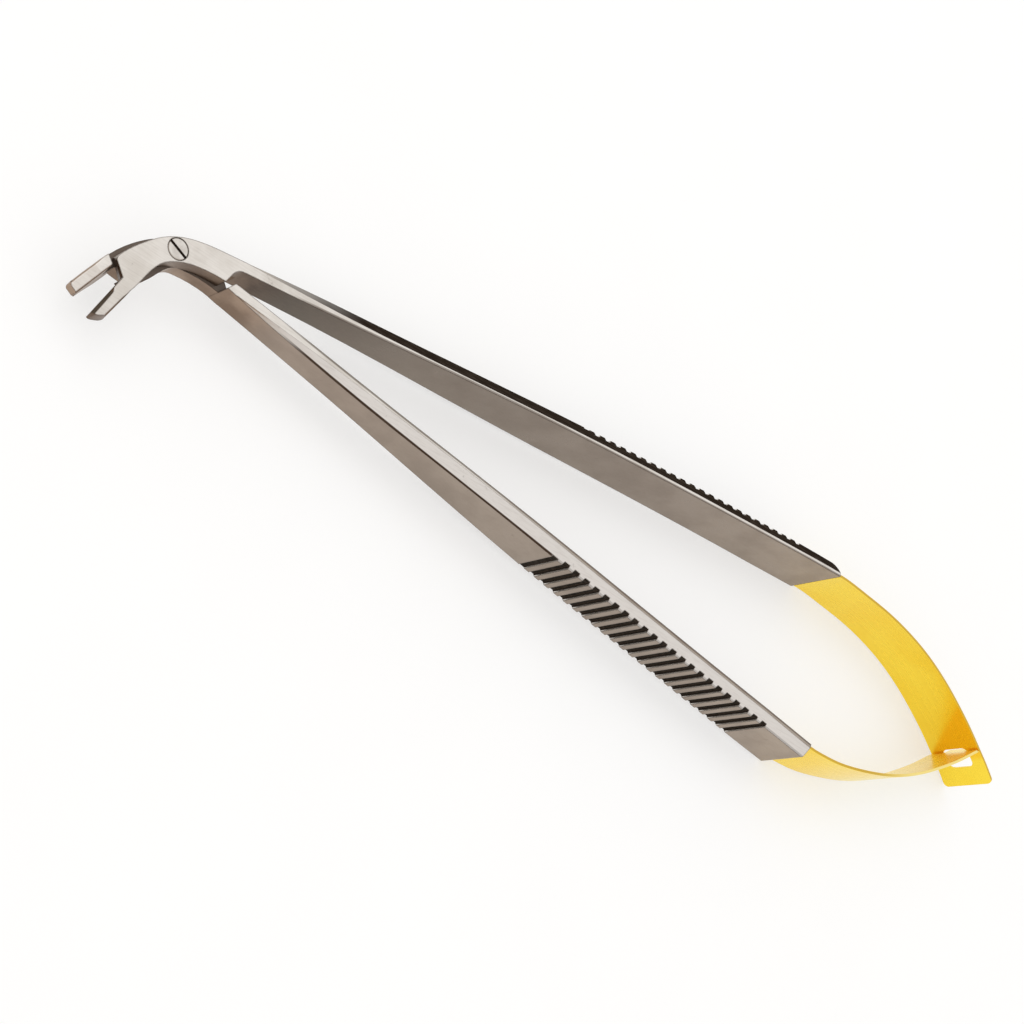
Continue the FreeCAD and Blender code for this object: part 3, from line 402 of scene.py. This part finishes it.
def build_leaf(name, mat, stations, columns, alive, place):
    """Closed ribbon.  stations are lengths along the mid-line, columns go
    across it; place(i, j, layer) gives a point, alive(i, j) says whether the
    cell between stations i, i+1 and columns j, j+1 is there."""
    bm = bmesh.new()
    made = {}

    def vert(i, j, layer):
        key = (i, j, layer)
        if key not in made:
            made[key] = bm.verts.new(place(i, j, layer))
        return made[key]

    cells = [(i, j) for i in range(stations - 1) for j in range(columns - 1) if alive(i, j)]
    there = set(cells)
    for i, j in cells:
        ring = [(i, j), (i + 1, j), (i + 1, j + 1), (i, j + 1)]
        bm.faces.new([vert(a, b, 1) for a, b in ring])
        bm.faces.new([vert(a, b, -1) for a, b in reversed(ring)])
        sides = [((i, j), (i + 1, j), (i, j - 1)), ((i + 1, j), (i + 1, j + 1), (i + 1, j)),
                 ((i + 1, j + 1), (i, j + 1), (i, j + 1)), ((i, j + 1), (i, j), (i - 1, j))]
        for p, q, other in sides:
            if other not in there:
                bm.faces.new([vert(*q, 1), vert(*p, 1), vert(*p, -1), vert(*q, -1)])
    bmesh.ops.remove_doubles(bm, verts=bm.verts, dist=1e-7)
    bmesh.ops.recalc_face_normals(bm, faces=bm.faces)
    for e in bm.edges:
        if len(e.link_faces) == 2 and e.calc_face_angle(0.0) > math.radians(40):
            e.smooth = False
    for f in bm.faces:
        f.smooth = True
    mesh = bpy.data.meshes.new(name)
    bm.to_mesh(mesh)
    bm.free()
    mesh.materials.append(mat)
    o = bpy.data.objects.new(name, mesh)
    bpy.context.scene.collection.objects.link(o)
    bevel = o.modifiers.new("rounded_edges", "BEVEL")
    bevel.width = 0.04 * MM
    bevel.segments = 2
    bevel.limit_method = "ANGLE"
    bevel.angle_limit = math.radians(40)
    bevel.harden_normals = False
    return o


def across(half, inner, n_side, n_mid):
    """Columns from -half to half with lines at -inner and inner."""
    left = even(-half, -inner, n_side)
    mid = even(-inner, inner, n_mid)
    right = even(inner, half, n_side)
    return left[:-1] + mid[:-1] + right


def upper_ribbon():
    line = Line(UP_MID)
    c = line.nearest(CROSS)
    w0, w1 = c - 0.70, c - 0.70 + WINDOW_L          # window along the leaf
    end = line.length
    corner = 0.80
    s = even(0.0, w0, 56)
    arc = [1 - math.cos(math.pi / 2 * k / 6) for k in range(1, 7)]
    s += [w0 + WINDOW_R * a for a in arc]
    s += even(w0 + WINDOW_R, w1 - WINDOW_R, 3)[1:]
    s += [w1 - WINDOW_R * (1 - math.sin(math.pi / 2 * k / 6)) for k in range(1, 7)]
    s += even(w1, end - corner, 3)[1:]
    s += [end - corner * (1 - math.sin(math.pi / 2 * k / 6)) for k in range(1, 7)]
    flat = WINDOW_W / 2 - WINDOW_R                  # half length of the window's straight ends
    n_side, n_mid = 6, 4
    cols = across(1.0, 0.5, n_side, n_mid)
    frames = [line.at(v) for v in s]

    def hole_half(v):
        if v <= w0 or v >= w1:
            return flat
        d = min(v - w0, w1 - v)
        if d >= WINDOW_R:
            return WINDOW_W / 2
        return flat + math.sqrt(max(WINDOW_R ** 2 - (WINDOW_R - d) ** 2, 0.0))

    def leaf_half(v):
        d = end - v
        if d >= corner:
            return LEAF_W / 2
        return LEAF_W / 2 - corner + math.sqrt(max(corner ** 2 - (corner - d) ** 2, 0.0))

    def z_of(i, j):
        v = s[i]
        if j <= n_side:
            return -(leaf_half(v) + (hole_half(v) - leaf_half(v)) * j / n_side)
        if j >= n_side + n_mid:
            k = j - n_side - n_mid
            return hole_half(v) + (leaf_half(v) - hole_half(v)) * k / n_side
        return -hole_half(v) + 2 * hole_half(v) * (j - n_side) / n_mid

    def place(i, j, layer):
        p, d = frames[i]
        n = Vector((-d.y, d.x))
        q = p + n * (layer * LEAF_T / 2)
        return Vector((q.x * MM, q.y * MM, (MID_Z + z_of(i, j)) * MM))

    def alive(i, j):
        inside = w0 - 1e-6 <= s[i] and s[i + 1] <= w1 + 1e-6
        return not (inside and n_side <= j < n_side + n_mid)

    o = build_leaf("upper_leaf_ribbon", gold_upper, len(s), len(cols), alive, place)
    a, _ = line.at(0.8)
    b, _ = line.at(w0 - 5.5)
    return o, (a.x * MM, a.y * MM, MID_Z * MM), (b.x * MM, b.y * MM, MID_Z * MM)


def lower_ribbon():
    line = Line(LOW_MID)
    s = even(0.0, line.length, 58)
    last = len(s) - 1
    dirn = Vector((0.792, 0.610)).normalized()
    n_end = Vector((-dirn.y, dirn.x))
    cross = Vector(CROSS)
    n_side, n_mid = 6, 6
    half, tongue = LEAF_W / 2, TONGUE_W / 2
    frames = [line.at(v) for v in s]
    extra = [0.30, 0.75, 1.15]                      # tongue stations beyond the crossing
    cols = 2 * n_side + n_mid + 1

    def z_of(j):
        if j <= n_side:
            return -half + (half - tongue) * j / n_side
        if j >= n_side + n_mid:
            return tongue + (half - tongue) * (j - n_side - n_mid) / n_side
        return -tongue + 2 * tongue * (j - n_side) / n_mid

    def place(i, j, layer):
        if i < last:
            p, d = frames[i]
            q = p + Vector((-d.y, d.x)) * (layer * LEAF_T / 2)
        elif i == last:
            back = 0.70 if layer > 0 else 0.33      # the full width ends on a slant
            q = cross - dirn * back + n_end * (layer * LEAF_T / 2)
        else:
            q = cross + dirn * extra[i - last - 1] + n_end * (layer * LEAF_T / 2)
        return Vector((q.x * MM, q.y * MM, (MID_Z + z_of(j)) * MM))

    def alive(i, j):
        return i < last or n_side <= j < n_side + n_mid

    o = build_leaf("lower_leaf_ribbon", gold_lower, last + 1 + len(extra), cols, alive, place)
    a, _ = line.at(0.8)
    b, _ = line.at(line.length - 5.0)
    return o, (a.x * MM, a.y * MM, MID_Z * MM), (b.x * MM, b.y * MM, MID_Z * MM)


up, up_a, up_b = upper_ribbon()
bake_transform(up)
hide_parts("upper_leaf")
low, low_a, low_b = lower_ribbon()
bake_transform(low)
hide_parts("lower_leaf")

# --------------------------------------------------------- floor and light
bm = bmesh.new()
bmesh.ops.create_grid(bm, x_segments=1, y_segments=1, size=3.0)
floor_mesh = bpy.data.meshes.new("floor")
bm.to_mesh(floor_mesh)
bm.free()
floor = bpy.data.objects.new("floor", floor_mesh)
floor.location = (0.0, 0.0, -0.00002)
bpy.context.scene.collection.objects.link(floor)
fm = Tree("floor_white")
fm.set("Base Color", fm.mix(fm.noise(fm.coord.outputs["Object"], 40.0), (0.52, 0.52, 0.52), (0.50, 0.50, 0.50)))
fm.set("Roughness", 0.75)
fm.set("Emission Color", (1.0, 1.0, 1.0))
fm.set("Emission Strength", 0.48)
fm.set("Specular IOR Level", 0.2)
floor_mesh.materials.append(fm.mat)

world = bpy.data.worlds.new("studio")
bpy.context.scene.world = world
world.use_nodes = True
bg = world.node_tree.nodes["Background"]
bg.inputs["Color"].default_value = (1.0, 0.985, 0.965, 1.0)
bg.inputs["Strength"].default_value = 0.96


def area(name, place, aim, size, power, colour=(1.0, 1.0, 1.0)):
    data = bpy.data.lights.new(name, "AREA")
    data.shape = "RECTANGLE"
    data.size, data.size_y = size
    data.energy = power
    data.color = colour
    o = bpy.data.objects.new(name, data)
    o.location = place
    o.rotation_euler = (Vector(aim) - Vector(place)).to_track_quat("-Z", "Y").to_euler()
    bpy.context.scene.collection.objects.link(o)
    return o


area("key", (-0.30, 0.32, 0.70), (0.0, 0.0, 0.0), (0.6, 0.6), 0.6)

bpy.context.scene.view_settings.view_transform = "Standard"
